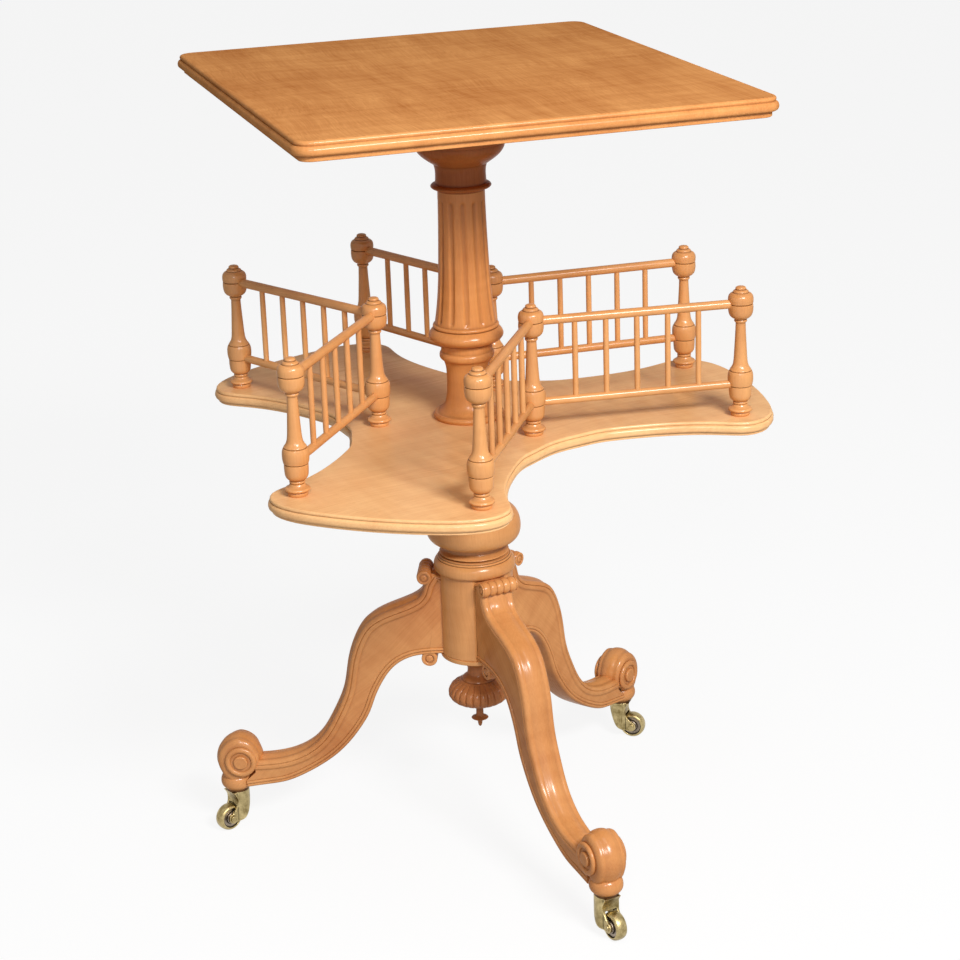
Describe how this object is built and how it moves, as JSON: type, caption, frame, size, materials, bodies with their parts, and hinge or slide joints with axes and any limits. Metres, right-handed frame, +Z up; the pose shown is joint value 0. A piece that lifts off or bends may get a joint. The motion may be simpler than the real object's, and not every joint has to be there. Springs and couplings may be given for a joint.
{
  "type": "revolving book table",
  "caption": "Wooden table whose moulded rectangular top and lobed, railed book shelf turn together on a column over three scrolled legs with castors.",
  "frame": {"origin": "the axis that the upper part turns on, at the floor that the castors stand on", "axes": "+Z up along the turning axis, +X along the short side of the top, +Y along its long side"},
  "size_m": [0.5611, 0.5773, 0.782],
  "materials": {
    "top_wood": "polished, shellac",
    "shelf_wood": "polished, shellac",
    "turned_wood": "polished, shellac",
    "gallery_wood": "polished, shellac",
    "carved_wood": "polished, shellac",
    "dowel_wood": "unfinished",
    "castor_brass": "cast, worn, with dark patina",
    "bearing_brass": "turned",
    "rod_steel": "turned",
    "screw_steel": "plain"
  },
  "bodies": {
    "stand": {"pivot_spindle": "rod_steel", "retaining_nut": "rod_steel", "thrust_washer": "bearing_brass", "pedestal_collar": "turned_wood", "pedestal_block": "turned_wood", "pedestal_cap": "turned_wood", "drop_finial": "carved_wood", "finial_tip": "carved_wood", "leg_1": "carved_wood", "leg_2": "carved_wood", "leg_3": "carved_wood", "leg_dowels": "dowel_wood", "castor_plate_1": "castor_brass", "castor_plate_2": "castor_brass", "castor_plate_3": "castor_brass", "castor_screws": "castor_brass"},
    "turning_upper": {"tabletop": "top_wood", "top_screws": "screw_steel", "capital": "turned_wood", "column_shaft": "turned_wood", "shelf": "shelf_wood", "turntable_bowl": "turned_wood", "bowl_screws": "screw_steel", "pivot_bushes": "bearing_brass", "inner_post_1": "gallery_wood", "inner_post_2": "gallery_wood", "inner_post_3": "gallery_wood", "outer_post_1": "gallery_wood", "top_rail_1": "gallery_wood", "bottom_rail_1": "gallery_wood", "spindles_1": "gallery_wood", "outer_post_2": "gallery_wood", "top_rail_2": "gallery_wood", "bottom_rail_2": "gallery_wood", "spindles_2": "gallery_wood", "outer_post_3": "gallery_wood", "top_rail_3": "gallery_wood", "bottom_rail_3": "gallery_wood", "spindles_3": "gallery_wood", "outer_post_4": "gallery_wood", "top_rail_4": "gallery_wood", "bottom_rail_4": "gallery_wood", "spindles_4": "gallery_wood", "outer_post_5": "gallery_wood", "top_rail_5": "gallery_wood", "bottom_rail_5": "gallery_wood", "spindles_5": "gallery_wood", "outer_post_6": "gallery_wood", "top_rail_6": "gallery_wood", "bottom_rail_6": "gallery_wood", "spindles_6": "gallery_wood"},
    "horn_1": {"castor_fork_1": "castor_brass", "castor_axle_1": "castor_brass"},
    "wheel_1": {"castor_wheel_1": "castor_brass"},
    "horn_2": {"castor_fork_2": "castor_brass", "castor_axle_2": "castor_brass"},
    "wheel_2": {"castor_wheel_2": "castor_brass"},
    "horn_3": {"castor_fork_3": "castor_brass", "castor_axle_3": "castor_brass"},
    "wheel_3": {"castor_wheel_3": "castor_brass"}
  },
  "joints": [
    {"name": "revolve", "type": "hinge", "parent": "stand", "child": "turning_upper", "pos_m": [0, 0, 0.3058], "axis": [0, 0, 1], "continuous": true},
    {"name": "castor_swivel_1", "type": "hinge", "parent": "stand", "child": "horn_1", "pos_m": [0.04049, -0.25278, 0.0365], "axis": [0, 0, 1], "continuous": true},
    {"name": "castor_swivel_2", "type": "hinge", "parent": "stand", "child": "horn_2", "pos_m": [0.20996, 0.14647, 0.0365], "axis": [0, 0, 1], "continuous": true},
    {"name": "castor_swivel_3", "type": "hinge", "parent": "stand", "child": "horn_3", "pos_m": [-0.23835, 0.09341, 0.0365], "axis": [0, 0, 1], "continuous": true},
    {"name": "castor_roll_1", "type": "hinge", "parent": "horn_1", "child": "wheel_1", "pos_m": [0.04364, -0.26642, 0.014], "axis": [0.9744, 0.225, 0], "continuous": true},
    {"name": "castor_roll_2", "type": "hinge", "parent": "horn_2", "child": "wheel_2", "pos_m": [0.22114, 0.13804, 0.014], "axis": [0.6018, 0.7986, 0], "continuous": true},
    {"name": "castor_roll_3", "type": "hinge", "parent": "horn_3", "child": "wheel_3", "pos_m": [-0.25104, 0.08749, 0.014], "axis": [0.4226, -0.9063, 0], "continuous": true}
  ]
}
